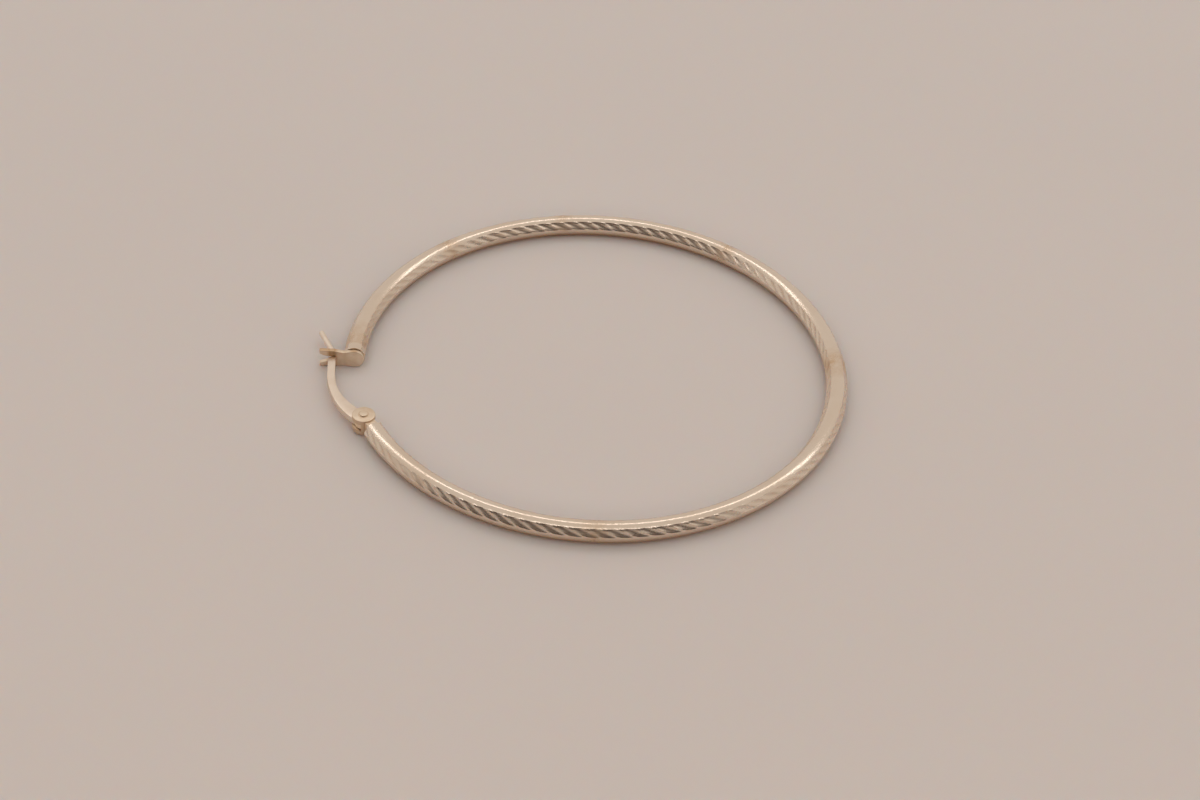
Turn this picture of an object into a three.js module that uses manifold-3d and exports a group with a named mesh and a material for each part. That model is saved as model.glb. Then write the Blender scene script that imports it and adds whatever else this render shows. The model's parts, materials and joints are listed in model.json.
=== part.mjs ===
// A large hoop earring with a click-top closure, lying flat as it rests on a table.
// Millimetres and degrees, +Z up. Seen from above, the clasp is at the left, on the -X side, and hoop
// angles run counterclockwise from +X. While it is modelled, Z = 0 is the hoop's middle plane; the last
// lines lift the group until it stands on Z = 0, with the origin under the middle of its box.

import * as THREE from "three";
import { mergeVertices } from "three/addons/utils/BufferGeometryUtils.js";
import Module from "manifold-3d";

// Hoop tube
const HOOP_OUTER_DIAMETER = 50;
const TUBE_DIAMETER = 2.1;
const FLUTE_ROWS = 3; // flats along the round tube, one of them straight down
const FLUTE_ROW_WIDTH = 0.75;
const BAND_STEPS = 6; // facets across each plain band between two rows
const TUBE_WALL = 0.22; // from a flat to the bore
const TUBE_STEPS = 112; // facets along the hoop
const BORE_SIDES = 12;
const HINGE_END_ANGLE = 210; // where the tube stops at the hinge
const CATCH_ANGLE = 182.8; // middle of the catch plate

// Fittings in the tube's ends
const PLUG_LENGTH = 1.2;
const PLUG_CLEARANCE = 0.04;
const SEAM_GAP = 0.04; // the fine line between the tube's end and a fitting

// Hinge fork, seen from above: how far the rivet stands past the tube's end,
// and how far outside the tube's centre line
const HINGE_REACH = 1.76;
const HINGE_OFFSET = 0.32;
const EAR_DIAMETER = 2.25;
const EAR_THICKNESS = 0.45;
const NECK_WIDTH = 1.1;

// Rivet
const RIVET_DIAMETER = 0.6;
const RIVET_HEAD_DIAMETER = 0.8;
const RIVET_HEAD_HEIGHT = 0.1;
const RIVET_CLEARANCE = 0.03; // round the shank, and under each head

// Ear wire: a flat bar on an arc, then a round neck and tip
const WIRE_ARC_RADIUS = 8.7; // to the centre line
const WIRE_LEAN = 5; // degrees that the straight end leans outwards, towards the catch
const WIRE_THICKNESS = 0.7;
const WIRE_CLEARANCE = 0.05; // above and below the eye, in the fork's slot
const WIRE_WIDTH_AT_HINGE = 1.35;
const WIRE_WIDTH_AT_CATCH = 0.77;
const WIRE_TAPER_LENGTH = 6; // from the rivet to where the wire is at its narrow width
const WIRE_EDGE = 0.08; // bevel along its edges
const WIRE_STEPS = 28;
const EYE_DIAMETER = 1.7;
const SHOULDER_GAP = 0.12; // between the end of the flat bar and the catch plate
const NECK_DIAMETER = 0.55;
const NECK_STRAIGHT = 0.5; // from the notch to the bend
const TIP_BEND_RADIUS = 2;
const TIP_BEND_ANGLE = 22;
const TIP_LENGTH = 2.75;

// Catch plate, outwards from the tube's centre line
const CATCH_THICKNESS = 0.45;
const CATCH_OVAL_DIAMETER = 1.9; // over the tube's end
const CATCH_WAIST = 1.56;
const WAIST_REACH = 0.95;
const CATCH_TAIL_HEIGHT = 1.9;
const TAIL_REACH = 2.2; // where the tail is at its full height
const PRONG_REACH = 3.42;
const PRONG_TIP_WIDTH = 0.34;
const NOTCH_REACH = 2.18; // centre of the notch's round seat
const NOTCH_CLEARANCE = 0.06;
const MOUTH_REACH = 2.75; // where the notch starts to widen

// Shares and easings of the small rounded forms
const RIVET_FACE_SHARE = 0.7; // flat middle of a rivet head, of its width
const RIVET_RIM_SHARE = 1 / 3; // upright rim of a rivet head, of its height
const OVAL_EASE_ANGLE = 8; // degrees by which the catch's oval stops short of its waist
const WAIST_EASE_SHARE = 0.8; // where the curve into the waist turns, of its reach

const ROUND_SIDES = 32;
const ROD_STEPS = 24;
const MERGE_DISTANCE = 1e-5;

// Values that follow from the sizes above
const HOOP_RADIUS = (HOOP_OUTER_DIAMETER - TUBE_DIAMETER) / 2;
const TUBE_RADIUS = TUBE_DIAMETER / 2;
const ROW_HALF_ANGLE = Math.asin(FLUTE_ROW_WIDTH / TUBE_DIAMETER);
const FLAT_RADIUS = TUBE_RADIUS * Math.cos(ROW_HALF_ANGLE);
const BORE_RADIUS = FLAT_RADIUS - TUBE_WALL;
const PLUG_SAG = PLUG_LENGTH ** 2 / (2 * HOOP_RADIUS); // how far the curved bore leaves a straight plug
const PLUG_RADIUS = BORE_RADIUS * Math.cos(Math.PI / BORE_SIDES) - PLUG_SAG - PLUG_CLEARANCE;
const SLOT_HEIGHT = WIRE_THICKNESS + 2 * WIRE_CLEARANCE;
const FORK_HEIGHT = SLOT_HEIGHT + 2 * EAR_THICKNESS;
const RIVET_HOLE_RADIUS = RIVET_DIAMETER / 2 + RIVET_CLEARANCE;
const NOTCH_RADIUS = NECK_DIAMETER / 2 + NOTCH_CLEARANCE;
const NECK_ROOT = 2 * WIRE_WIDTH_AT_CATCH; // how far the round neck starts inside the flat bar

const rad = THREE.MathUtils.degToRad;

const wasm = await Module();
wasm.setup();

// Solids for cutting and joining

function solid(geometry) {
  const bare = geometry.clone();
  bare.deleteAttribute("normal");
  bare.deleteAttribute("uv");
  const merged = mergeVertices(bare, MERGE_DISTANCE);
  return new wasm.Manifold(
    new wasm.Mesh({
      numProp: 3,
      vertProperties: merged.attributes.position.array,
      triVerts: new Uint32Array(merged.index.array),
    }),
  );
}

function geometryOf(made) {
  const mesh = made.getMesh();
  const geometry = new THREE.BufferGeometry();
  geometry.setAttribute("position", new THREE.BufferAttribute(new Float32Array(mesh.vertProperties), 3));
  geometry.setIndex(new THREE.BufferAttribute(new Uint32Array(mesh.triVerts), 1));
  const flat = geometry.toNonIndexed();
  flat.computeVertexNormals();
  return flat;
}

// Basic shapes, each about Z = 0

function uprightCylinder(radius, height, x, y) {
  return new THREE.CylinderGeometry(radius, radius, height, ROUND_SIDES)
    .rotateX(Math.PI / 2)
    .translate(x, y, 0);
}

function slab(outline, thickness) {
  return new THREE.ExtrudeGeometry(new THREE.Shape(outline), { depth: thickness, bevelEnabled: false })
    .translate(0, 0, -thickness / 2);
}

// A point on the circle of the given radius, at a hoop angle in degrees
function onCircle(radius, degrees) {
  return new THREE.Vector2(radius * Math.cos(rad(degrees)), radius * Math.sin(rad(degrees)));
}

// Hoop tube

class HoopArc extends THREE.Curve {
  constructor(fromDegrees, toDegrees) {
    super();
    this.from = rad(fromDegrees);
    this.sweep = rad(toDegrees) - this.from;
  }

  getPoint(t, target = new THREE.Vector3()) {
    const angle = this.from + t * this.sweep;
    return target.set(HOOP_RADIUS * Math.cos(angle), HOOP_RADIUS * Math.sin(angle), 0);
  }
}

// A sweep along the hoop reads a section's +X as down and its +Y as towards the hoop's centre,
// so a point at an angle from outwards towards down goes in as (sin, -cos).
function sectionPoint(radius, angle) {
  return new THREE.Vector2(radius * Math.sin(angle), -radius * Math.cos(angle));
}

function tubeSection() {
  const outline = [];
  const rowTurn = (2 * Math.PI) / FLUTE_ROWS;
  const bandSweep = rowTurn - 2 * ROW_HALF_ANGLE;
  for (let row = 0; row < FLUTE_ROWS; row++) {
    const bandStart = Math.PI / 2 + row * rowTurn + ROW_HALF_ANGLE;
    for (let i = 0; i <= BAND_STEPS; i++) {
      outline.push(sectionPoint(TUBE_RADIUS, bandStart + (bandSweep * i) / BAND_STEPS));
    }
  }
  const bore = [];
  for (let i = 0; i < BORE_SIDES; i++) {
    bore.push(sectionPoint(BORE_RADIUS, (2 * Math.PI * i) / BORE_SIDES));
  }
  const section = new THREE.Shape(outline);
  section.holes.push(new THREE.Path(bore));
  return section;
}

function hoopTube() {
  const catchEnd = CATCH_ANGLE - THREE.MathUtils.radToDeg((CATCH_THICKNESS / 2 + SEAM_GAP) / HOOP_RADIUS);
  return new THREE.ExtrudeGeometry(tubeSection(), {
    steps: TUBE_STEPS,
    extrudePath: new HoopArc(HINGE_END_ANGLE, catchEnd + 360),
  });
}

// Hinge fork, in its own frame: X runs out of the tube's end, Y runs away from the hoop's centre

function hingeFork() {
  const neck = slab(
    [
      new THREE.Vector2(SEAM_GAP, -NECK_WIDTH / 2),
      new THREE.Vector2(HINGE_REACH, HINGE_OFFSET - NECK_WIDTH / 2),
      new THREE.Vector2(HINGE_REACH, HINGE_OFFSET + NECK_WIDTH / 2),
      new THREE.Vector2(SEAM_GAP, NECK_WIDTH / 2),
    ],
    FORK_HEIGHT,
  );
  const ears = uprightCylinder(EAR_DIAMETER / 2, FORK_HEIGHT, HINGE_REACH, HINGE_OFFSET);
  const plugEnd = 2 * SEAM_GAP; // just inside the neck
  const plug = new THREE.CylinderGeometry(PLUG_RADIUS, PLUG_RADIUS, PLUG_LENGTH + plugEnd, ROUND_SIDES)
    .rotateZ(Math.PI / 2)
    .translate((plugEnd - PLUG_LENGTH) / 2, 0, 0);
  const slotStart = HINGE_REACH - EYE_DIAMETER / 2 - WIRE_CLEARANCE;
  const slotLength = EAR_DIAMETER + EYE_DIAMETER;
  const slotWidth = 2 * (EAR_DIAMETER + HINGE_OFFSET);
  const slot = new THREE.BoxGeometry(slotLength, slotWidth, SLOT_HEIGHT)
    .translate(slotStart + slotLength / 2, HINGE_OFFSET, 0);
  const hole = uprightCylinder(RIVET_HOLE_RADIUS, 2 * FORK_HEIGHT, HINGE_REACH, HINGE_OFFSET);
  return geometryOf(
    solid(neck)
      .add(solid(ears))
      .subtract(solid(slot))
      .add(solid(plug))
      .subtract(solid(hole)),
  );
}

// Rivet: one turned profile, shank and two domed heads, about its own axis

function hingeRivet() {
  const shank = RIVET_DIAMETER / 2;
  const head = RIVET_HEAD_DIAMETER / 2;
  const underHead = FORK_HEIGHT / 2 + RIVET_CLEARANCE / 2;
  const top = underHead + RIVET_HEAD_HEIGHT;
  const domeStart = underHead + RIVET_HEAD_HEIGHT * RIVET_RIM_SHARE;
  const profile = [
    [0, -top],
    [head * RIVET_FACE_SHARE, -top],
    [head, -domeStart],
    [head, -underHead],
    [shank, -underHead],
    [shank, underHead],
    [head, underHead],
    [head, domeStart],
    [head * RIVET_FACE_SHARE, top],
    [0, top],
  ].map(([r, z]) => new THREE.Vector2(r, z));
  return new THREE.LatheGeometry(profile, ROUND_SIDES).rotateX(Math.PI / 2);
}

// Ear wire, in the hoop's frame: a flat bar from the rivet's centre to the catch

function rivetCentre() {
  const end = onCircle(HOOP_RADIUS + HINGE_OFFSET, HINGE_END_ANGLE);
  const outOfTube = onCircle(1, HINGE_END_ANGLE - 90);
  return end.addScaledVector(outOfTube, HINGE_REACH);
}

function notchCentre() {
  return onCircle(HOOP_RADIUS + NOTCH_REACH, CATCH_ANGLE);
}

// Centre line of the flat wire: an arc from the rivet, then a straight end that leans into the notch
function wireLine() {
  const rivet = rivetCentre();
  const notch = notchCentre();
  const along = onCircle(1, 90 + WIRE_LEAN);
  const outwards = onCircle(1, 180 + WIRE_LEAN);
  const reach = notch.clone().sub(rivet);
  const rise = reach.dot(along);
  const swing = reach.dot(outwards);
  const arcRise = Math.sqrt(2 * swing * WIRE_ARC_RADIUS - swing ** 2);
  const arcEnd = notch.clone().addScaledVector(along, arcRise - rise);
  const sweep = Math.asin(arcRise / WIRE_ARC_RADIUS);
  return {
    along,
    outwards,
    arcEnd,
    centre: arcEnd.clone().addScaledVector(outwards, -WIRE_ARC_RADIUS),
    from: rad(180 + WIRE_LEAN) + sweep,
    arcLength: sweep * WIRE_ARC_RADIUS,
    straight: rise - arcRise,
  };
}

// A point at a distance from the rivet along the centre line, and at an offset outwards from it
function wirePoint(line, distance, offset) {
  if (distance < line.arcLength) {
    const angle = line.from - distance / WIRE_ARC_RADIUS;
    const across = new THREE.Vector2(Math.cos(angle), Math.sin(angle));
    return line.centre.clone().addScaledVector(across, WIRE_ARC_RADIUS + offset);
  }
  return line.arcEnd.clone()
    .addScaledVector(line.along, distance - line.arcLength)
    .addScaledVector(line.outwards, offset);
}

function wireWidth(distance) {
  const taper = THREE.MathUtils.smoothstep(distance, EYE_DIAMETER / 2, WIRE_TAPER_LENGTH);
  return THREE.MathUtils.lerp(WIRE_WIDTH_AT_HINGE, WIRE_WIDTH_AT_CATCH, taper);
}

// The flat bar stops short of the catch plate by the shoulder's gap
function flatBar(line) {
  const outer = [];
  const inner = [];
  const stop = line.arcLength + line.straight - CATCH_THICKNESS / 2 - SHOULDER_GAP;
  for (let i = 0; i <= WIRE_STEPS; i++) {
    const distance = (stop * i) / WIRE_STEPS;
    const half = wireWidth(distance) / 2;
    outer.push(wirePoint(line, distance, half));
    inner.unshift(wirePoint(line, distance, -half));
  }
  return new THREE.ExtrudeGeometry(new THREE.Shape([...outer, ...inner]), {
    depth: WIRE_THICKNESS - 2 * WIRE_EDGE,
    bevelThickness: WIRE_EDGE,
    bevelSize: WIRE_EDGE,
    bevelOffset: -WIRE_EDGE,
    bevelSegments: 1,
  }).translate(0, 0, WIRE_EDGE - WIRE_THICKNESS / 2);
}

// Centre line of the round neck and tip, from inside the flat bar to the tip's end
function neckPath({ along, outwards }) {
  const start = notchCentre();
  const root = start.clone().addScaledVector(along, -NECK_ROOT);
  const bendStart = start.clone().addScaledVector(along, NECK_STRAIGHT);
  const bend = rad(TIP_BEND_ANGLE);
  const inBend = (angle) =>
    bendStart.clone()
      .addScaledVector(along, TIP_BEND_RADIUS * Math.sin(angle))
      .addScaledVector(outwards, TIP_BEND_RADIUS * (1 - Math.cos(angle)));
  const tipAlong = along.clone().multiplyScalar(Math.cos(bend)).addScaledVector(outwards, Math.sin(bend));
  const points = [root, bendStart, inBend(bend / 3), inBend((2 * bend) / 3), inBend(bend)];
  points.push(inBend(bend).addScaledVector(tipAlong, TIP_LENGTH));
  return points.map((p) => new THREE.Vector3(p.x, p.y, 0));
}

function roundRod(points) {
  const path = new THREE.CurvePath();
  for (let i = 1; i < points.length; i++) {
    path.add(new THREE.LineCurve3(points[i - 1], points[i]));
  }
  const section = new THREE.Shape().absarc(0, 0, NECK_DIAMETER / 2, 0, 2 * Math.PI);
  return new THREE.ExtrudeGeometry(section, {
    steps: ROD_STEPS,
    curveSegments: ROUND_SIDES / 4,
    extrudePath: path,
  });
}

function earWire() {
  const line = wireLine();
  const rivet = rivetCentre();
  const path = neckPath(line);
  const end = path[path.length - 1];
  const eye = uprightCylinder(EYE_DIAMETER / 2, WIRE_THICKNESS, rivet.x, rivet.y);
  const hole = uprightCylinder(RIVET_HOLE_RADIUS, 2 * WIRE_THICKNESS, rivet.x, rivet.y);
  const roundEnd = new THREE.SphereGeometry(NECK_DIAMETER / 2, ROUND_SIDES / 2, ROUND_SIDES / 4)
    .translate(end.x, end.y, end.z);
  return geometryOf(
    solid(flatBar(line))
      .add(solid(eye))
      .subtract(solid(hole))
      .add(solid(roundRod(path)))
      .add(solid(roundEnd)),
  );
}

// Catch, in its own frame: X runs away from the hoop's centre, Y up, Z into the tube

function catchOutline() {
  const shape = new THREE.Shape();
  const oval = CATCH_OVAL_DIAMETER / 2;
  const waist = CATCH_WAIST / 2;
  const tail = CATCH_TAIL_HEIGHT / 2;
  const mouth = tail - PRONG_TIP_WIDTH;
  const ovalEnd = Math.asin(Math.min(1, waist / oval)) + rad(OVAL_EASE_ANGLE);
  const easeReach = WAIST_REACH * WAIST_EASE_SHARE;
  const tailStart = (WAIST_REACH + TAIL_REACH) / 2;
  shape.absarc(0, 0, oval, ovalEnd, 2 * Math.PI - ovalEnd, false);
  shape.quadraticCurveTo(easeReach, -waist, WAIST_REACH, -waist);
  shape.quadraticCurveTo(tailStart, -waist, TAIL_REACH, -tail);
  shape.lineTo(PRONG_REACH, -tail);
  shape.lineTo(PRONG_REACH, -mouth);
  shape.lineTo(MOUTH_REACH, -NOTCH_RADIUS);
  shape.lineTo(NOTCH_REACH, -NOTCH_RADIUS);
  shape.absarc(NOTCH_REACH, 0, NOTCH_RADIUS, -Math.PI / 2, Math.PI / 2, true);
  shape.lineTo(MOUTH_REACH, NOTCH_RADIUS);
  shape.lineTo(PRONG_REACH, mouth);
  shape.lineTo(PRONG_REACH, tail);
  shape.lineTo(TAIL_REACH, tail);
  shape.quadraticCurveTo(tailStart, waist, WAIST_REACH, waist);
  shape.quadraticCurveTo(easeReach, waist, oval * Math.cos(ovalEnd), oval * Math.sin(ovalEnd));
  return shape;
}

function catchFitting() {
  const plate = new THREE.ExtrudeGeometry(catchOutline(), {
    depth: CATCH_THICKNESS,
    bevelEnabled: false,
    curveSegments: ROUND_SIDES / 2,
  }).translate(0, 0, -CATCH_THICKNESS / 2);
  const plugLength = PLUG_LENGTH + CATCH_THICKNESS / 2;
  const plug = new THREE.CylinderGeometry(PLUG_RADIUS, PLUG_RADIUS, plugLength, ROUND_SIDES)
    .rotateX(Math.PI / 2)
    .translate(0, 0, plugLength / 2);
  return geometryOf(solid(plate).add(solid(plug)));
}

// Assembly

const silver = new THREE.MeshStandardMaterial({ color: 0xd8cfc2, roughness: 0.25, metalness: 1 });
const wireSilver = new THREE.MeshStandardMaterial({ color: 0xe2dccf, roughness: 0.2, metalness: 1 });
const catchSilver = new THREE.MeshStandardMaterial({ color: 0xcfb995, roughness: 0.3, metalness: 1 });

function piece(name, geometry, material) {
  const mesh = new THREE.Mesh(geometry, material);
  mesh.name = name;
  return mesh;
}

const earring = new THREE.Group();

earring.add(piece("hoop_tube", hoopTube(), silver));

const hinge = new THREE.Group();
const hingeEnd = onCircle(HOOP_RADIUS, HINGE_END_ANGLE);
hinge.position.set(hingeEnd.x, hingeEnd.y, 0);
hinge.rotation.z = rad(HINGE_END_ANGLE - 90);
const rivet = piece("hinge_rivet", hingeRivet(), wireSilver);
rivet.position.set(HINGE_REACH, HINGE_OFFSET, 0);
hinge.add(piece("hinge_fork", hingeFork(), silver), rivet);
earring.add(hinge);

earring.add(piece("ear_wire", earWire(), wireSilver));

const clasp = piece("catch", catchFitting(), catchSilver);
const catchEnd = onCircle(HOOP_RADIUS, CATCH_ANGLE);
clasp.position.set(catchEnd.x, catchEnd.y, 0);
clasp.rotation.set(Math.PI / 2, 0, rad(CATCH_ANGLE), "ZXY");
earring.add(clasp);

const box = new THREE.Box3().setFromObject(earring, true);
const middle = box.getCenter(new THREE.Vector3());
earring.position.set(-middle.x, -middle.y, -box.min.z);

export default earring;
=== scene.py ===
"""A diamond-cut silver hoop earring with a hinged ear wire, lying on a pale table.

The pieces are modelled in millimetres about the hoop's centre, on its middle plane, and then brought to
their place in the frame, in metres. Hoop angles run counterclockwise from +X, seen from above.
"""

import json
import math

import bmesh
import bpy
from bpy.props import FloatProperty, FloatVectorProperty, IntProperty, PointerProperty
from mathutils import Matrix, Vector


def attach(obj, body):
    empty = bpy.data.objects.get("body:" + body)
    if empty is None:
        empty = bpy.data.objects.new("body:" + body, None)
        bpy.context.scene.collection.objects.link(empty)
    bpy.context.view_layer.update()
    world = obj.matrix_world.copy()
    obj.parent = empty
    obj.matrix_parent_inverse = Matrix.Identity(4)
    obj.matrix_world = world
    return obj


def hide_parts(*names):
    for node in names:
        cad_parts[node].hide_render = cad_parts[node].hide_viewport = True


bl_info = {
    "name": "Hoop Earring",
    "version": (1, 0, 0),
    "blender": (4, 5, 0),
    "location": "View3D > Sidebar > Earring",
    "description": "Models a diamond-cut hoop earring with a click-top closure",
    "category": "Add Mesh",
}

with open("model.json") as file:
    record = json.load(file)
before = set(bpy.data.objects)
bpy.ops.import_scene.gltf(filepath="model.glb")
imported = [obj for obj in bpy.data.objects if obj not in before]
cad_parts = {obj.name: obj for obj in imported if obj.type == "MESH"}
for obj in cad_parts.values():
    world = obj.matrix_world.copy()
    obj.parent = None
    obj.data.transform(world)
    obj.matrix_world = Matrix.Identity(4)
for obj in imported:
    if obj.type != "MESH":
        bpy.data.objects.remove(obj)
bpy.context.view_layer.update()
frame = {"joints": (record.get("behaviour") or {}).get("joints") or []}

MM = 0.001
UP = Vector((0, 0, 1))

HOOP_OUTER_DIAMETER = 50.0
TUBE_DIAMETER = 2.1
HOOP_RADIUS = (HOOP_OUTER_DIAMETER - TUBE_DIAMETER) / 2
HINGE_END_ANGLE = 210.0
CATCH_ANGLE = 182.8
SEAM_GAP = 0.04
HINGE_REACH = 1.76
HINGE_OFFSET = 0.32


def on_circle(radius, degrees):
    turn = math.radians(degrees)
    return Vector((radius * math.cos(turn), radius * math.sin(turn), 0))


# The hinge's own frame stands at the tube's end, X out of it and Y away from the hoop's centre.
# The joint stands at the rivet, so the rivet tells where the hoop's centre is in the frame.
HINGE_END = on_circle(HOOP_RADIUS, HINGE_END_ANGLE)
HINGE_TURN = (0, 0, math.radians(HINGE_END_ANGLE - 90))
RIVET_IN_HINGE = Vector((HINGE_REACH, HINGE_OFFSET, 0))
RIVET_PLACE = HINGE_END + Matrix.Rotation(HINGE_TURN[2], 3, "Z") @ RIVET_IN_HINGE
HOOP_CENTRE = Vector(frame["joints"][0]["pos_m"]) - RIVET_PLACE * MM


# Properties

def length(name, description, millimetres):
    return FloatProperty(
        name=name, description=description, default=millimetres * MM, unit="LENGTH", precision=5)


def angle(name, description, degrees):
    return FloatProperty(
        name=name, description=description, default=math.radians(degrees), subtype="ANGLE")


def colour(name, description, rgb):
    return FloatVectorProperty(
        name=name, description=description, default=rgb, subtype="COLOR", size=3, min=0, max=1)


class TubeSizes(bpy.types.PropertyGroup):
    diameter: length("Tube diameter", "The round tube", TUBE_DIAMETER)
    bore: length("Bore", "Diameter of the tube's bore", 1.5)
    pitch: length("Flute pitch", "From one cut to the next, along the tube", 1.5)
    hollow: length("Flute hollow", "How far a cut is hollowed across its row", 0.02)
    crest_half: angle("Crest half width", "Half of a row at a crest, round the tube", 20)
    valley_half: angle("Valley half width", "Half of a row at a valley, round the tube", 23.5)
    starts: IntProperty(
        name="Starts", description="Flutes that one turn round the tube crosses", default=8)


class FittingSizes(bpy.types.PropertyGroup):
    ear_diameter: length("Ear diameter", "Round ears of the hinge", 2.25)
    ear_thickness: length("Ear thickness", "Each ear of the hinge", 0.45)
    slot: length("Slot", "Between the two ears", 0.8)
    neck_width: length("Neck width", "From the tube's end to the ears", 1.1)
    rivet_head: length("Rivet head", "Diameter of the rivet's heads", 0.8)
    plate_thickness: length("Catch thickness", "The catch plate", 0.45)
    plate_height: length("Catch height", "The catch plate, at its oval and at its prongs", 1.9)
    notch: length("Notch", "Width of the catch's notch at its seat", 0.67)


class WireSizes(bpy.types.PropertyGroup):
    arc_radius: length("Arc radius", "Bend of the ear wire, to its centre line", 8.7)
    lean: angle("Lean", "How far the straight end leans outwards, towards the catch", 5)
    thickness: length("Thickness", "The flat wire, up and down", 0.7)
    hinge_width: length("Width at hinge", "The flat wire, beside the hinge", 1.35)
    catch_width: length("Width at catch", "The flat wire, before the catch", 0.77)
    eye: length("Eye diameter", "The wire's eye on the rivet", 1.7)
    neck: length("Neck diameter", "The round neck and tip", 0.55)
    tip: length("Tip length", "Straight end past the bend", 2.75)
    tip_bend: angle("Tip bend", "How far the tip turns outwards", 22)


class Finish(bpy.types.PropertyGroup):
    silver: colour("Silver", "Clean cut silver", (0.82, 0.695, 0.58))
    wire: colour("Wire", "Plain wire", (0.9, 0.77, 0.65))
    fitting: colour("Fittings", "Hinge and catch", (0.84, 0.7, 0.55))
    # This golden brown colour also paints shade: on the tube's underside, along the flute crests and in
    # rings on the fittings.
    tarnish_and_shade: colour("Tarnish", "Golden brown tarnish", (0.6, 0.39, 0.22))
    floor: colour("Floor", "Pale table", (0.718, 0.658, 0.635))


# Modelling by hand: each helper works on the active object

SHARP_ANGLE = 35
ROUNDING_SEGMENTS = 3


def begin(add, **options):
    """Adds a primitive with nothing else selected, and leaves it in edit mode, all selected."""
    bpy.ops.object.select_all(action="DESELECT")
    add(**options)
    bpy.ops.object.mode_set(mode="EDIT")
    bpy.ops.mesh.select_all(action="SELECT")
    return bpy.context.object


def end():
    bpy.ops.object.mode_set(mode="OBJECT")
    return bpy.context.object


def activate(piece):
    bpy.ops.object.select_all(action="DESELECT")
    piece.select_set(True)
    bpy.context.view_layer.objects.active = piece


def choose(kind, test):
    """In edit mode, selects the vertices, edges or faces that pass a test."""
    bpy.ops.mesh.select_mode(type={"verts": "VERT", "edges": "EDGE", "faces": "FACE"}[kind])
    bpy.ops.mesh.select_all(action="DESELECT")
    data = bpy.context.object.data
    mesh = bmesh.from_edit_mesh(data)
    for item in getattr(mesh, kind):
        item.select_set(test(item))
    bmesh.update_edit_mesh(data)


def apply_modifier(piece, kind, **settings):
    activate(piece)
    modifier = piece.modifiers.new(kind.title(), kind)
    for name, value in settings.items():
        setattr(modifier, name, value)
    bpy.ops.object.modifier_apply(modifier=modifier.name)


def stack(stations, sides=48, turn=(0, 0, 0), at=(0, 0, 0)):
    """A round closed solid along Z: a disc is added, then extruded and resized to each (height, radius)."""
    height, radius = stations[0]
    piece = begin(
        bpy.ops.mesh.primitive_circle_add, vertices=sides, radius=radius, fill_type="NGON",
        location=(0, 0, height))
    bpy.ops.mesh.flip_normals()
    for next_height, next_radius in stations[1:]:
        bpy.ops.mesh.extrude_region_move(
            TRANSFORM_OT_translate={"value": (0, 0, next_height - height)})
        ratio = next_radius / radius
        bpy.ops.transform.resize(value=(ratio, ratio, 1), center_override=(0, 0, next_height))
        height, radius = next_height, next_radius
    bpy.ops.mesh.select_all(action="SELECT")
    bpy.ops.mesh.normals_make_consistent(inside=False)
    end()
    settle(piece, turn=turn, at=at)
    return piece


def plate(stations, thickness):
    """A flat closed solid along X: a rectangle is extruded and resized to each (x, lowest y, highest y)."""
    x, low, high = stations[0]
    piece = begin(
        bpy.ops.mesh.primitive_plane_add, size=1, rotation=(0, math.pi / 2, 0),
        location=(x, (low + high) / 2, 0))
    bpy.ops.transform.resize(
        value=(1, high - low, thickness), center_override=(x, (low + high) / 2, 0))
    for next_x, next_low, next_high in stations[1:]:
        middle = (next_low + next_high) / 2
        bpy.ops.mesh.extrude_region_move(
            TRANSFORM_OT_translate={"value": (next_x - x, middle - (low + high) / 2, 0)})
        bpy.ops.transform.resize(
            value=(1, (next_high - next_low) / (high - low), 1), center_override=(next_x, middle, 0))
        x, low, high = next_x, next_low, next_high
    bpy.ops.mesh.select_all(action="SELECT")
    bpy.ops.mesh.normals_make_consistent(inside=False)
    end()
    settle(piece)
    return piece


def settle(piece, at=(0, 0, 0), turn=(0, 0, 0)):
    """Writes the piece's own place into its mesh, then turns it about the origin and moves it."""
    activate(piece)
    bpy.ops.object.transform_apply(location=True, rotation=True, scale=True)
    piece.rotation_euler = turn
    piece.location = at
    bpy.ops.object.transform_apply(location=True, rotation=True, scale=True)


def merge(piece, tools, operation):
    for tool in tools:
        apply_modifier(piece, "BOOLEAN", operation=operation, object=tool, solver="EXACT")
        bpy.data.objects.remove(tool)


def clear_lines(piece):
    """Makes each flat side one face, so that a wide rounding fits."""
    activate(piece)
    bpy.ops.object.mode_set(mode="EDIT")
    bpy.ops.mesh.select_all(action="SELECT")
    bpy.ops.mesh.dissolve_limited(angle_limit=math.radians(1))
    end()


def round_edges(piece, width):
    apply_modifier(
        piece, "BEVEL", width=width, segments=ROUNDING_SEGMENTS, limit_method="ANGLE",
        angle_limit=math.radians(SHARP_ANGLE), harden_normals=False, use_clamp_overlap=True)


def finish(piece, name, body, material, smooth=SHARP_ANGLE):
    """Brings a piece from millimetres about the hoop's centre into the frame, and says what it is."""
    activate(piece)
    piece.name = piece.data.name = name
    piece.scale = (MM, MM, MM)
    piece.location = HOOP_CENTRE
    bpy.ops.object.transform_apply(location=True, rotation=True, scale=True)
    bpy.ops.object.shade_smooth_by_angle(angle=math.radians(smooth))
    piece.data.materials.clear()
    piece.data.materials.append(material)
    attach(piece, body)


# Materials

class Sock:
    """A shader socket that takes part in Python expressions."""

    def __init__(self, look, socket):
        self.look = look
        self.socket = socket

    def __add__(self, other):
        return self.look.maths("ADD", self, other)

    def __sub__(self, other):
        return self.look.maths("SUBTRACT", self, other)

    def __rsub__(self, other):
        return self.look.maths("SUBTRACT", other, self)

    def __mul__(self, other):
        return self.look.maths("MULTIPLY", self, other)

    def __truediv__(self, other):
        return self.look.maths("DIVIDE", self, other)

    __radd__ = __add__
    __rmul__ = __mul__


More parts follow.
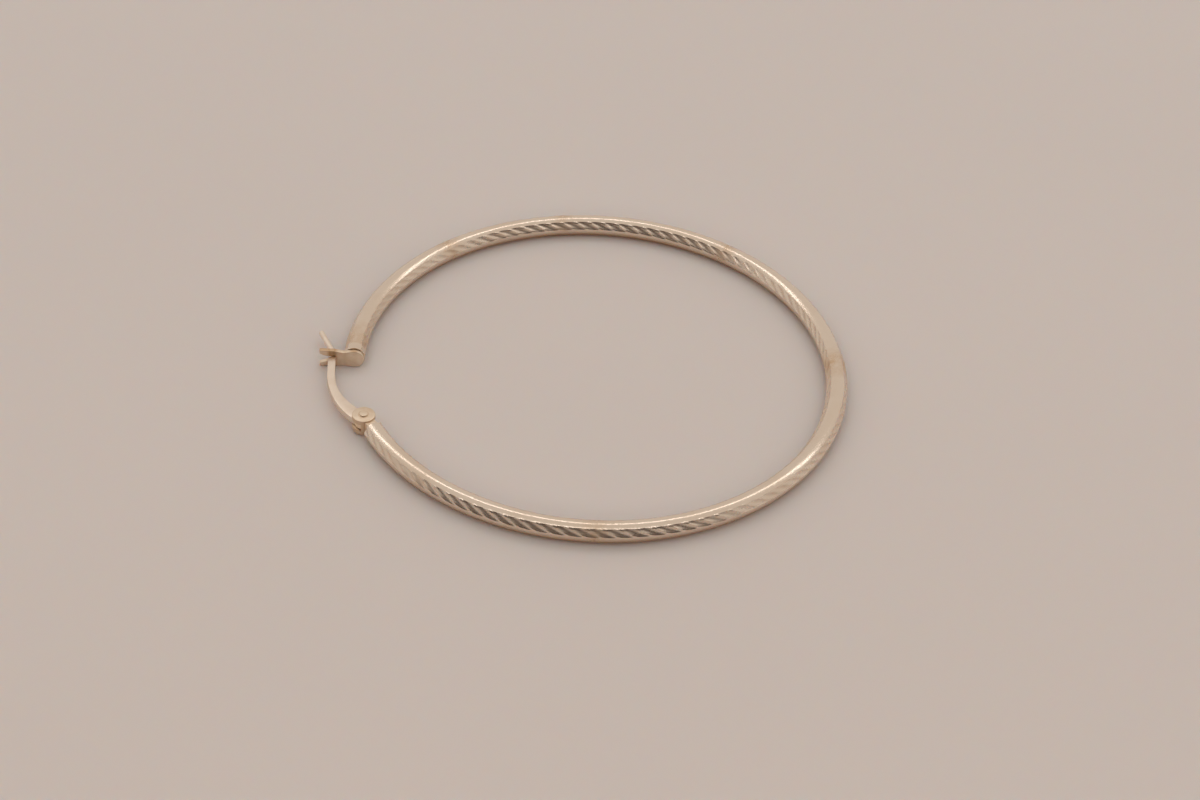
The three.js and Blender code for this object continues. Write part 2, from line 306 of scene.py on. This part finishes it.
class Look:
    """A material whose nodes are made from expressions."""

    def __init__(self, name):
        self.material = bpy.data.materials.new(name)
        self.material.use_nodes = True
        self.tree = self.material.node_tree
        self.shader = self.tree.nodes["Principled BSDF"]

    def node(self, kind, settings=None, inputs=None, output=0):
        """Any node: its settings first, then the values or links of its sockets."""
        made = self.tree.nodes.new(kind)
        for name, value in (settings or {}).items():
            if name == "stops":
                self.set_stops(made.color_ramp, value)
            else:
                setattr(made, name, value)
        for key, value in (inputs or {}).items():
            self.feed(made.inputs[key], value)
        return Sock(self, made.outputs[output])

    def set_stops(self, ramp, stops):
        while len(ramp.elements) < len(stops):
            ramp.elements.new(0.5)
        for element, (place, value) in zip(ramp.elements, stops):
            element.position = place
            element.color = (value, value, value, 1)

    def feed(self, socket, value):
        if isinstance(value, Sock):
            self.tree.links.new(value.socket, socket)
        else:
            socket.default_value = value

    def maths(self, operation, *values):
        return self.node("ShaderNodeMath", {"operation": operation}, dict(enumerate(values)))

    def mix(self, factor, first, second):
        first, second = (v if isinstance(v, Sock) else (*v, 1) for v in (first, second))
        return self.node(
            "ShaderNodeMix", {"data_type": "RGBA"}, {0: factor, 6: first, 7: second}, output=2)

    def place(self):
        return self.node("ShaderNodeTexCoord", output="Object")

    def noise(self, size, detail=3.0, stretch=None):
        """Noise whose features are about size millimetres across."""
        where = self.place()
        if stretch:
            where = self.node("ShaderNodeMapping", inputs={"Vector": where, "Scale": stretch})
        return self.node(
            "ShaderNodeTexNoise", inputs={"Vector": where, "Scale": 1 / (size * MM), "Detail": detail})

    def ramp(self, value, *stops):
        return self.node("ShaderNodeValToRGB", {"stops": stops}, {0: value})

    def attribute(self, name):
        return self.node("ShaderNodeAttribute", {"attribute_name": name}, output="Fac")

    def hoop_degrees(self):
        """Hoop angle of each point, from -180 to 180 degrees."""
        parts = self.tree.nodes.new("ShaderNodeSeparateXYZ")
        self.feed(parts.inputs[0], self.place())
        x, y = (Sock(self, parts.outputs[axis]) for axis in "XY")
        return self.maths("ARCTAN2", y - HOOP_CENTRE.y, x - HOOP_CENTRE.x) * math.degrees(1)

    def height(self):
        """Height above the hoop's middle plane, in millimetres."""
        parts = self.tree.nodes.new("ShaderNodeSeparateXYZ")
        self.feed(parts.inputs[0], self.place())
        return (Sock(self, parts.outputs["Z"]) - HOOP_CENTRE.z) / MM

    def away_from(self, place):
        """Level distance from a place on the hoop, in millimetres."""
        parts = self.tree.nodes.new("ShaderNodeSeparateXYZ")
        self.feed(parts.inputs[0], self.place())
        axis = HOOP_CENTRE + place * MM
        x = (Sock(self, parts.outputs["X"]) - axis.x) / MM
        y = (Sock(self, parts.outputs["Y"]) - axis.y) / MM
        return self.maths("SQRT", x * x + y * y)

    def metal(self, base, roughness, bump, bump_distance):
        self.feed(self.shader.inputs["Base Color"], base)
        self.feed(self.shader.inputs["Roughness"], roughness)
        self.shader.inputs["Metallic"].default_value = 1
        normal = self.node(
            "ShaderNodeBump", inputs={"Height": bump, "Strength": 1.0, "Distance": bump_distance * MM})
        self.feed(self.shader.inputs["Normal"], normal)
        return self.material


# Golden brown patches along the hoop: middle in degrees, half length in degrees, strength
PATCHES = (
    {"at": -88, "reach": 3.0, "strength": 0.5},
    {"at": 5, "reach": 6.0, "strength": 0.75},
    {"at": 58, "reach": 4.0, "strength": 0.6},
    {"at": 101, "reach": 3.0, "strength": 0.4},
    {"at": 133, "reach": 4.0, "strength": 0.6},
    {"at": 178, "reach": 7.0, "strength": 0.5},
)


def fluted_silver(colours):
    look = Look("fluted_silver")
    degrees = look.hoop_degrees()
    patch = None
    for row in PATCHES:
        away = look.maths("ABSOLUTE", degrees - row["at"]) / row["reach"]
        near = look.maths("MAXIMUM", 1 - away, 0.0) * row["strength"]
        patch = near if patch is None else look.maths("MAXIMUM", patch, near)
    clouds = look.ramp(look.noise(6.0), (0.45, 0.0), (0.8, 0.3))
    spots = look.ramp(look.noise(0.8), (0.3, 0.2), (0.6, 1.0))
    tarnish_and_shade = look.maths("MINIMUM", clouds + patch * spots, 1.0)
    height = look.height()
    # Painted shade: from just below the tube's middle down to the table the colour turns golden brown,
    # fully so near the table.
    tarnish_and_shade = look.maths("MAXIMUM", tarnish_and_shade, look.ramp(height / 2 + 0.5, (0.12, 1.0), (0.48, 0.0)))
    groove = look.attribute("dip") * look.attribute("face")
    crest = look.attribute("face") - groove
    tarnished_and_shaded = look.mix(tarnish_and_shade, tuple(colours.silver), tuple(colours.tarnish_and_shade))
    # Painted shade: a darker brown along each flute's crest, where the cut steps.
    base = look.mix(crest * 0.18, tarnished_and_shaded, tuple(0.55 * c for c in colours.tarnish_and_shade))
    roughness = 0.14 + look.attribute("face") * 0.1 + tarnish_and_shade * 0.22 + look.noise(0.5) * 0.07
    scratches = look.noise(0.12, stretch=(1, 1, 4))
    return look.metal(base, roughness, scratches + look.noise(0.6), 0.006)


# Brown rings on the fittings: radius and half width in millimetres, strength. The ring round the rivet head
# and the ring in the catch's notch are painted shade.
HINGE_DARK_RINGS = (
    # painted shade round the rivet head
    {"at": 0.48, "reach": 0.12, "strength": 0.55},
    {"at": 1.13, "reach": 0.1, "strength": 0.5},
)
CATCH_DARK_RINGS = (
    # painted shade in the notch, where the wire sits
    {"at": 0.3, "reach": 0.4, "strength": 1.0},
    {"at": 1.3, "reach": 0.5, "strength": 0.3},
)


def fitting_silver(name, colours, place, dark_rings, edge):
    """Silver with clouds of tarnished colour, brown rings round a place, some of them painted shade, and a
    brown edge from a height upwards.
    """
    look = Look(name)
    clouds = look.ramp(look.noise(1.2), (0.42, 0.0), (0.8, 0.5))
    rim = look.ramp(look.height() / 2 + 0.5, (edge, 0.0), (edge + 0.03, 0.75))
    clouds = look.maths("MAXIMUM", clouds, rim)
    away = look.away_from(place)
    # Darker rings round the place; where they ring the rivet head or the notch, they are painted shade.
    for row in dark_rings:
        near = 1 - look.maths("ABSOLUTE", away - row["at"]) / row["reach"]
        clouds = look.maths("MAXIMUM", clouds, near * row["strength"])
    base = look.mix(clouds, tuple(colours.fitting), tuple(colours.tarnish_and_shade))
    roughness = 0.28 + clouds * 0.2 + look.noise(0.3) * 0.08
    return look.metal(base, roughness, look.noise(0.15) + look.noise(0.8), 0.008)


def wire_silver(colours):
    look = Look("wire_silver")
    clouds = look.ramp(look.noise(2.0), (0.45, 0.0), (0.8, 0.35))
    base = look.mix(clouds, tuple(colours.wire), tuple(colours.tarnish_and_shade))
    roughness = 0.26 + look.noise(0.4) * 0.1
    return look.metal(base, roughness, look.noise(0.1, stretch=(1, 4, 1)), 0.004)


def table_top(colours):
    look = Look("table_top")
    cloud = look.noise(60.0)
    base = look.mix(cloud * 0.25, tuple(colours.floor), tuple(0.85 * c for c in colours.floor))
    look.feed(look.shader.inputs["Base Color"], base)
    look.shader.inputs["Roughness"].default_value = 0.75
    look.shader.inputs["Subsurface Weight"].default_value = 0.7
    look.shader.inputs["Subsurface Radius"].default_value = (1.0, 0.6, 0.4)
    look.shader.inputs["Subsurface Scale"].default_value = 4 * MM
    return look.material


# Fluted tube

FLUTE_ROWS = 8
FACE_COLUMNS = 8
BAND_COLUMNS = 10
ROWS = 3
FIRST_ROW_ANGLE = math.radians(30)
COLUMNS = ROWS * (FACE_COLUMNS + BAND_COLUMNS)
BORE_STEPS = 66
BARREL = 0.5  # how round a face stays at a crest
CUT_ANGLE = 17  # a fold sharper than this shows as an edge of a cut


class EARRING_OT_fluted_tube(bpy.types.Operator):
    """Cut three rows of slanted flutes into the round tube and bend it round the hoop"""

    bl_idname = "earring.fluted_tube"
    bl_label = "Fluted Tube"

    def execute(self, context):
        sizes = context.scene.earring_tube
        hoop_radius = (HOOP_OUTER_DIAMETER - sizes.diameter / MM) / 2
        plate = context.scene.earring_fitting.plate_thickness / MM
        seam = math.degrees((plate / 2 + SEAM_GAP) / hoop_radius)
        sweep = 360 + CATCH_ANGLE - seam - HINGE_END_ANGLE
        pitch = math.degrees(sizes.pitch / MM / hoop_radius)
        flutes = math.ceil(sweep / pitch) + sizes.starts
        skin = self.flat_skin(flutes)
        self.mark_ends(skin, sizes.starts, flutes)
        self.roll_up(skin, sizes, hoop_radius, pitch)
        activate(skin)
        bpy.ops.object.mode_set(mode="EDIT")
        bpy.ops.mesh.select_all(action="SELECT")
        bpy.ops.mesh.remove_doubles(threshold=0.001)
        self.trim("hinge_end", HINGE_END_ANGLE, hoop_radius, keep_after=True)
        self.trim("catch_end", HINGE_END_ANGLE + sweep, hoop_radius, keep_after=False)
        self.bore(sizes, hoop_radius, sweep)
        end()
        skin.vertex_groups.clear()
        finish(skin, "fluted_tube", "hoop",
               fluted_silver(context.scene.earring_finish), smooth=CUT_ANGLE)
        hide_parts("hoop_tube")
        return {"FINISHED"}

    def flat_skin(self, flutes):
        """One flute of the skin laid flat, then repeated: X counts flutes, Y is the turn round the tube."""
        skin = begin(
            bpy.ops.mesh.primitive_grid_add, x_subdivisions=FLUTE_ROWS, y_subdivisions=COLUMNS,
            size=1, location=(0.5, 0.5, 0))
        end()
        settle(skin)
        apply_modifier(
            skin, "ARRAY", count=flutes, use_relative_offset=False, use_constant_offset=True,
            constant_offset_displace=(1, 0, 0), use_merge_vertices=True, merge_threshold=0.01)
        return skin

    def mark_ends(self, skin, starts, flutes):
        for name, low, high in (("hinge_end", 0, starts + 1), ("catch_end", flutes - starts - 2, flutes)):
            group = skin.vertex_groups.new(name=name)
            group.add([v.index for v in skin.data.vertices if low <= v.co.x <= high], 1, "REPLACE")

    def roll_up(self, skin, sizes, hoop_radius, pitch):
        """Rolls the flat skin into the tube, sinks the flutes, and bends it round the hoop."""
        radius = sizes.diameter / MM / 2
        dips = skin.data.attributes.new("dip", "FLOAT", "POINT")
        faces = skin.data.attributes.new("face", "FLOAT", "POINT")
        for vertex in skin.data.vertices:
            flute = vertex.co.x
            dip = 1 - (2 * (flute % 1) - 1) ** 2
            half = sizes.crest_half + (sizes.valley_half - sizes.crest_half) * dip
            row, column = divmod(round(vertex.co.y * COLUMNS), FACE_COLUMNS + BAND_COLUMNS)
            middle = FIRST_ROW_ANGLE + row * math.tau / ROWS
            if column <= FACE_COLUMNS:
                across = 2 * column / FACE_COLUMNS - 1
                around = middle + across * half
                hollow = sizes.hollow / MM * dip * (1 - across ** 2)
                flat = radius * math.cos(half) / math.cos(across * half)
                out = flat + (radius - flat) * BARREL * (1 - dip) - hollow
                inside = 1 - across ** 6
            else:
                share = (column - FACE_COLUMNS) / BAND_COLUMNS
                around = middle + half + share * (math.tau / ROWS - 2 * half)
                out = radius
                inside = 0
            along = HINGE_END_ANGLE + pitch * (flute - sizes.starts * around / math.tau)
            vertex.co = on_circle(hoop_radius + out * math.cos(around), along) + UP * out * math.sin(around)
            dips.data[vertex.index].value = dip
            faces.data[vertex.index].value = inside

    def trim(self, group, degrees, hoop_radius, keep_after):
        """Cuts one ragged end square."""
        bpy.ops.mesh.select_all(action="DESELECT")
        bpy.ops.object.vertex_group_set_active(group=group)
        bpy.ops.object.vertex_group_select()
        bpy.ops.mesh.bisect(
            plane_co=on_circle(hoop_radius, degrees), plane_no=on_circle(1, degrees + 90),
            clear_inner=keep_after, clear_outer=not keep_after)

    def bore(self, sizes, hoop_radius, sweep):
        """Turns the hinge end's rim inwards, runs it through the tube and joins it to the other rim."""
        start = on_circle(hoop_radius, HINGE_END_ANGLE)
        reach = sizes.diameter / MM
        choose("edges", lambda e: e.is_boundary and (e.verts[0].co - start).length < reach)
        shrink = sizes.bore / sizes.diameter
        bpy.ops.mesh.extrude_edges_move()
        bpy.ops.transform.resize(value=(shrink, shrink, shrink), center_override=start)
        bpy.ops.mesh.spin(
            steps=BORE_STEPS, angle=-math.radians(sweep), center=(0, 0, 0), axis=(0, 0, 1), dupli=False)
        choose("edges", lambda e: e.is_boundary)
        bpy.ops.mesh.bridge_edge_loops()
        bpy.ops.mesh.select_all(action="SELECT")
        bpy.ops.mesh.normals_make_consistent(inside=False)


# Hinge

PLUG_RADIUS = 0.66
NECK_STEP = 0.15  # how far the neck lies below the ears' faces
FORK_ROUNDING = 0.07
EAR_SIDES = 64
PLUG_LENGTH = 1.2
RIVET_HOLE_RADIUS = 0.33
ROUND_STEPS = 6
RIVET_STEPS = 5


def in_hinge(piece):
    settle(piece, turn=HINGE_TURN, at=HINGE_END)


class EARRING_OT_hinge(bpy.types.Operator):
    """Model the hinge: a plug, a neck and two round ears, with a rivet through them"""

    bl_idname = "earring.hinge"
    bl_label = "Hinge"

    def execute(self, context):
        sizes = context.scene.earring_fitting
        metal = fitting_silver(
            "hinge_silver", context.scene.earring_finish, RIVET_PLACE, HINGE_DARK_RINGS, edge=1.0)
        slot = sizes.slot / MM / 2
        top = slot + sizes.ear_thickness / MM
        self.fork(sizes, slot, top, metal)
        self.rivet(sizes, top, metal)
        return {"FINISHED"}

    def fork(self, sizes, slot, top, metal):
        rivet = RIVET_IN_HINGE
        ear = sizes.ear_diameter / MM / 2
        half = sizes.neck_width / MM / 2
        eye = bpy.context.scene.earring_wire.eye / MM / 2
        fork = stack([(-top, ear), (top, ear)], sides=EAR_SIDES, at=rivet)
        neck = plate(
            [(SEAM_GAP, -half, half), (rivet.x, rivet.y - half, rivet.y + half)], 2 * top - 2 * NECK_STEP)
        slot_start = rivet.x - eye - SEAM_GAP
        gap = plate([(slot_start, -2 * ear, 3 * ear), (rivet.x + 2 * ear, -2 * ear, 3 * ear)], 2 * slot)
        round_edges(fork, FORK_ROUNDING)
        round_edges(neck, FORK_ROUNDING)
        merge(fork, [neck], "UNION")
        merge(fork, [gap], "DIFFERENCE")
        hole = stack([(-2 * top, RIVET_HOLE_RADIUS), (2 * top, RIVET_HOLE_RADIUS)], at=rivet)
        merge(fork, [hole], "DIFFERENCE")
        plug = stack(
            [(0, PLUG_RADIUS), (PLUG_LENGTH + 3 * SEAM_GAP, PLUG_RADIUS)], turn=(0, math.pi / 2, 0))
        settle(plug, at=(-PLUG_LENGTH, 0, 0))
        merge(fork, [plug], "UNION")
        in_hinge(fork)
        finish(fork, "hinge_ears", "hoop", metal)
        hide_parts("hinge_fork")

    def rivet(self, sizes, top, metal):
        """A turned rivet: a shank and two low domed heads."""
        head = sizes.rivet_head / MM / 2
        under = top + RIVET_LIFT
        dome = [
            (under + RIVET_RIM + RIVET_DOME * math.sin(step / RIVET_STEPS * math.pi / 2),
             head - RIVET_DOME * (1 - math.cos(step / RIVET_STEPS * math.pi / 2)))
            for step in range(RIVET_STEPS + 1)
        ]
        upper = [(under, RIVET_SHANK), (under, head)] + dome
        lower = [(-height, radius) for height, radius in reversed(upper)]
        rivet = stack(lower + upper, at=RIVET_IN_HINGE)
        in_hinge(rivet)
        finish(rivet, "rivet_peened", "hoop", metal)
        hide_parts("hinge_rivet")


RIVET_SHANK = 0.3
RIVET_LIFT = 0.015
RIVET_RIM = 0.06
RIVET_DOME = 0.04

# Catch: its own frame has X away from the hoop's centre, Y up and Z into the tube

OVAL_RADIUS = 0.95
WAIST_REACH = 0.95
WAIST_HALF = 0.78
TAIL_REACH = 2.2
PRONG_REACH = 3.42
PRONG_TIP = 0.34
NOTCH_REACH = 2.18
MOUTH_REACH = 2.75
OVAL_STEPS = 12
OVAL_SHARE = 0.62  # of half a turn, up to the waist
OVAL_START = 0.35  # of a step, so that the first station has a width
CATCH_ROUNDING = 0.06
CATCH_TURN = (Matrix.Rotation(math.radians(CATCH_ANGLE), 4, "Z")
              @ Matrix.Rotation(math.pi / 2, 4, "X")).to_euler()


def smooth_step(value, low, high):
    share = min(1, max(0, (value - low) / (high - low)))
    return share * share * (3 - 2 * share)


class EARRING_OT_catch(bpy.types.Operator):
    """Model the fish-tail catch plate with its notch, and its plug in the tube"""

    bl_idname = "earring.catch"
    bl_label = "Catch"

    def execute(self, context):
        sizes = context.scene.earring_fitting
        thickness = sizes.plate_thickness / MM
        tail = sizes.plate_height / MM / 2
        notch = sizes.notch / MM / 2
        catch = plate(self.outline(tail), thickness)
        seat = stack([(-thickness, notch), (thickness, notch)], at=(NOTCH_REACH, 0, 0))
        slope = (tail - PRONG_TIP - notch) / (PRONG_REACH - MOUTH_REACH)
        wide = notch + slope * (PRONG_REACH + 1 - MOUTH_REACH)
        mouth = plate(
            [(NOTCH_REACH, -notch, notch), (MOUTH_REACH, -notch, notch), (PRONG_REACH + 1, -wide, wide)],
            2 * thickness)
        clear_lines(catch)
        round_edges(catch, CATCH_ROUNDING)
        merge(catch, [seat, mouth], "DIFFERENCE")
        plug = stack([(0, PLUG_RADIUS), (PLUG_LENGTH + thickness / 2, PLUG_RADIUS)])
        merge(catch, [plug], "UNION")
        settle(catch, turn=CATCH_TURN, at=on_circle(HOOP_RADIUS, CATCH_ANGLE))
        notch_place = on_circle(HOOP_RADIUS + NOTCH_REACH, CATCH_ANGLE)
        metal = fitting_silver(
            "catch_silver", context.scene.earring_finish, notch_place, CATCH_DARK_RINGS, edge=0.93)
        finish(catch, "catch_plate", "hoop", metal)
        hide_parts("catch")
        return {"FINISHED"}

    def outline(self, tail):
        """Half heights from the oval's round end, over the waist, to the prongs' tips."""
        stations = []
        for step in range(OVAL_STEPS):
            turn = math.pi * (1 - OVAL_SHARE * (step + OVAL_START) / OVAL_STEPS)
            stations.append((OVAL_RADIUS * math.cos(turn), OVAL_RADIUS * math.sin(turn)))
        for step in range(OVAL_STEPS + 1):
            reach = WAIST_REACH + (TAIL_REACH - WAIST_REACH) * step / OVAL_STEPS
            widened = smooth_step(reach, WAIST_REACH, TAIL_REACH)
            stations.append((reach, WAIST_HALF + (tail - WAIST_HALF) * widened))
        stations.append((PRONG_REACH, tail))
        return [(x, -half, half) for x, half in stations]


# Ear wire: a flat bar from the rivet to the catch, then a round neck and a bent tip

SHOULDER_GAP = 0.12
EYE_STEP = 0.012  # how far the eye lies below the bar's faces
WIRE_ROUNDING = 0.05
EYE_ROUNDING = 0.04
NECK_STRAIGHT = 0.5
TIP_BEND_RADIUS = 2.0
TAPER_LENGTH = 6.0
BAR_STEPS = 40
BEND_STEPS = 6


class WireLine:
    """The wire's centre line: an arc from the rivet, then a straight end that leans into the notch."""

    def __init__(self, sizes, notch):
        lean = math.degrees(sizes.lean)
        self.radius = sizes.arc_radius / MM
        self.along = on_circle(1, 90 + lean)
        self.outwards = on_circle(1, 180 + lean)
        reach = notch - RIVET_PLACE
        rise, swing = reach.dot(self.along), reach.dot(self.outwards)
        arc_rise = math.sqrt(2 * swing * self.radius - swing ** 2)
        sweep = math.asin(arc_rise / self.radius)
        self.arc_end = notch + self.along * (arc_rise - rise)
        self.centre = self.arc_end - self.outwards * self.radius
        self.first = 180 + lean + math.degrees(sweep)
        self.arc_length = sweep * self.radius
        self.length = self.arc_length + rise - arc_rise

    def point(self, distance, offset, height):
        """A point at a distance from the rivet, an offset outwards and a height."""
        if distance < self.arc_length:
            across = on_circle(1, self.first - math.degrees(distance / self.radius))
            return self.centre + across * (self.radius + offset) + UP * height
        past = self.along * (distance - self.arc_length)
        return self.arc_end + past + self.outwards * offset + UP * height


class EARRING_OT_ear_wire(bpy.types.Operator):
    """Model the hinged wire: its eye, the tapering flat bar, the round neck and the bent tip"""

    bl_idname = "earring.ear_wire"
    bl_label = "Ear Wire"

    def execute(self, context):
        sizes = context.scene.earring_wire
        fitting = context.scene.earring_fitting
        notch = on_circle(HOOP_RADIUS + NOTCH_REACH, CATCH_ANGLE)
        line = WireLine(sizes, notch)
        wire = self.bar(sizes, line.length - fitting.plate_thickness / MM / 2 - SHOULDER_GAP)
        self.curl(wire, line)
        half = sizes.thickness / MM / 2
        flush, radius = half - EYE_STEP, sizes.eye / MM / 2
        eye = stack([(-flush, radius), (flush, radius)], sides=EAR_SIDES, at=RIVET_PLACE)
        round_edges(wire, WIRE_ROUNDING)
        round_edges(eye, EYE_ROUNDING)
        merge(wire, [eye], "UNION")
        hole = stack(
            [(-2 * half, RIVET_HOLE_RADIUS), (2 * half, RIVET_HOLE_RADIUS)], at=RIVET_PLACE)
        merge(wire, [hole], "DIFFERENCE")
        merge(wire, [self.neck(sizes, notch)], "UNION")
        finish(wire, "wire_bent", "wire", wire_silver(context.scene.earring_finish))
        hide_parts("ear_wire")
        return {"FINISHED"}

    def bar(self, sizes, reach):
        """The flat bar, still straight: X is the distance from the rivet."""
        stations = []
        for step in range(BAR_STEPS + 1):
            distance = reach * step / BAR_STEPS
            taper = smooth_step(distance, sizes.eye / MM / 2, TAPER_LENGTH)
            half = (sizes.hinge_width + (sizes.catch_width - sizes.hinge_width) * taper) / MM / 2
            stations.append((distance, -half, half))
        return plate(stations, sizes.thickness / MM)

    def curl(self, bar, line):
        """Lays the straight bar along the wire's line."""
        for vertex in bar.data.vertices:
            vertex.co = line.point(*vertex.co)
        activate(bar)
        bpy.ops.object.mode_set(mode="EDIT")
        bpy.ops.mesh.select_all(action="SELECT")
        bpy.ops.mesh.normals_make_consistent(inside=False)
        end()

    def neck(self, sizes, notch):
        """The round neck and tip: a straight rod with a round end, then bent outwards."""
        radius = sizes.neck / MM / 2
        bend = sizes.tip_bend * TIP_BEND_RADIUS
        reach = NECK_STRAIGHT + bend + sizes.tip / MM
        heights = [-2 * sizes.catch_width / MM]
        heights += [NECK_STRAIGHT + bend * step / BEND_STEPS for step in range(BEND_STEPS + 1)]
        stations = [(height, radius) for height in heights]
        for step in range(ROUND_STEPS):
            turn = math.pi / 2 * step / ROUND_STEPS
            stations.append((reach + radius * math.sin(turn), radius * math.cos(turn)))
        rod = stack(stations, sides=32, turn=(0, math.pi / 2, 0))
        for vertex in rod.data.vertices:
            past = vertex.co.x - NECK_STRAIGHT
            turn = min(max(past / TIP_BEND_RADIUS, 0), sizes.tip_bend)
            if past > 0:
                beyond = max(past - bend, 0)
                across = TIP_BEND_RADIUS - vertex.co.y
                vertex.co.x = NECK_STRAIGHT + across * math.sin(turn) + beyond * math.cos(turn)
                vertex.co.y = TIP_BEND_RADIUS - across * math.cos(turn) + beyond * math.sin(turn)
        settle(rod, turn=(0, 0, math.pi / 2 + sizes.lean), at=notch)
        return rod


# Stage

CAMERA_DISTANCE = 248.45
CAMERA_ELEVATION = 39.82
CAMERA_ROLL = 3.87
CAMERA_AIM = Vector((0.616, -3.895, 0))
CAMERA_LENS = 75.78
FLOOR_GAP = 0.02
FLOOR_WIDTH = 4000
ROOM_COLOUR = (0.95, 0.87, 0.79, 1)
ROOM_STRENGTH = 0.7

# Soft boxes, in millimetres and watts. The fill lightens the shadows and isn't mirrored in the metal.
LIGHTS = (
    {"name": "front_light", "at": (0, -178, 381), "width": 900, "depth": 22, "power": 0.19,
     "tint": (1, 1, 1), "mirrored": True},
    {"name": "back_light", "at": (0, 210, 364), "width": 900, "depth": 28, "power": 0.2,
     "tint": (1, 1, 1), "mirrored": True},
    {"name": "front_fill", "at": (0, -260, 130), "width": 700, "depth": 60, "power": 0.26,
     "tint": (1.0, 0.86, 0.72), "mirrored": False},
)
CARD_AT = (-20, -330, 170)
CARD_SIZE = (1300, 300, 1)
CARD_SHADE = (0.15, 0.125, 0.115, 1)


def towards_origin(place):
    return (-Vector(place)).to_track_quat("-Z", "Y").to_euler()


class EARRING_OT_stage(bpy.types.Operator):
    """Add the pale table, the soft lights and the camera"""

    bl_idname = "earring.stage"
    bl_label = "Stage"

    def execute(self, context):
        self.floor(context)
        self.world(context)
        for row in LIGHTS:
            self.soft_box(**row)
        self.card()
        self.camera(context)
        context.scene.view_settings.view_transform = "Standard"
        return {"FINISHED"}

    def floor(self, context):
        floor = begin(bpy.ops.mesh.primitive_plane_add, size=FLOOR_WIDTH, location=(0, 0, 0))
        bpy.ops.mesh.subdivide(number_cuts=3)
        end()
        floor.name = "table"
        settle(floor)
        floor.scale = (MM, MM, MM)
        floor.location = (0, 0, -FLOOR_GAP * MM)
        bpy.ops.object.transform_apply(location=True, rotation=True, scale=True)
        floor.data.materials.append(table_top(context.scene.earring_finish))

    def world(self, context):
        world = bpy.data.worlds.new("studio")
        world.use_nodes = True
        sky = world.node_tree.nodes["Background"]
        sky.inputs["Color"].default_value = ROOM_COLOUR
        sky.inputs["Strength"].default_value = ROOM_STRENGTH
        context.scene.world = world

    def soft_box(self, name, at, width, depth, power, tint, mirrored):
        light = bpy.data.lights.new(name, "AREA")
        light.shape = "RECTANGLE"
        light.size = width * MM
        light.size_y = depth * MM
        light.energy = power
        light.color = tint
        holder = bpy.data.objects.new(name, light)
        bpy.context.scene.collection.objects.link(holder)
        holder.location = Vector(at) * MM
        holder.rotation_euler = towards_origin(at)
        holder.visible_camera = False
        holder.visible_glossy = mirrored

    def card(self):
        """A dark card in front, which the cut flutes mirror."""
        card = begin(bpy.ops.mesh.primitive_cube_add, size=1, location=(0, 0, 0))
        end()
        card.name = "dark_card"
        activate(card)
        card.scale = Vector(CARD_SIZE) * MM
        card.location = Vector(CARD_AT) * MM
        card.rotation_euler = towards_origin(CARD_AT)
        bpy.ops.object.transform_apply(location=True, rotation=True, scale=True)
        look = Look("dark_card")
        look.shader.inputs["Base Color"].default_value = CARD_SHADE
        card.data.materials.append(look.material)
        card.visible_camera = False

    def camera(self, context):
        holder = bpy.data.objects.new("camera", bpy.data.cameras.new("camera"))
        context.scene.collection.objects.link(holder)
        holder.data.lens = CAMERA_LENS
        holder.data.sensor_width = 36
        holder.data.clip_start = 0.01
        tilt = Matrix.Rotation(math.radians(90 - CAMERA_ELEVATION), 4, "X")
        roll = Matrix.Rotation(math.radians(CAMERA_ROLL), 4, "Z")
        place = Vector((HOOP_CENTRE.x, HOOP_CENTRE.y, 0)) + CAMERA_AIM * MM
        back = tilt.to_3x3() @ Vector((0, 0, CAMERA_DISTANCE * MM))
        holder.matrix_world = Matrix.Translation(place + back) @ tilt @ roll
        context.scene.camera = holder


OPERATORS = (
    EARRING_OT_fluted_tube, EARRING_OT_hinge, EARRING_OT_catch, EARRING_OT_ear_wire, EARRING_OT_stage)

SIZES = {
    "earring_tube": TubeSizes,
    "earring_fitting": FittingSizes,
    "earring_wire": WireSizes,
    "earring_finish": Finish,
}


class EARRING_PT_panel(bpy.types.Panel):
    """Lists the sizes and the steps in the sidebar"""

    bl_label = "Hoop Earring"
    bl_idname = "EARRING_PT_panel"
    bl_space_type = "VIEW_3D"
    bl_region_type = "UI"
    bl_category = "Earring"

    def draw(self, context):
        for name, group in SIZES.items():
            box = self.layout.box()
            for size in group.__annotations__:
                box.prop(getattr(context.scene, name), size)
        for operator in OPERATORS:
            self.layout.operator(operator.bl_idname)


CLASSES = (*SIZES.values(), *OPERATORS, EARRING_PT_panel)


def register():
    for cls in CLASSES:
        bpy.utils.register_class(cls)
    for name, group in SIZES.items():
        setattr(bpy.types.Scene, name, PointerProperty(type=group))


def unregister():
    for name in SIZES:
        delattr(bpy.types.Scene, name)
    for cls in reversed(CLASSES):
        bpy.utils.unregister_class(cls)


def main():
    register()
    bpy.ops.earring.fluted_tube()
    bpy.ops.earring.hinge()
    bpy.ops.earring.catch()
    bpy.ops.earring.ear_wire()
    bpy.ops.earring.stage()


if __name__ == "__main__":
    main()
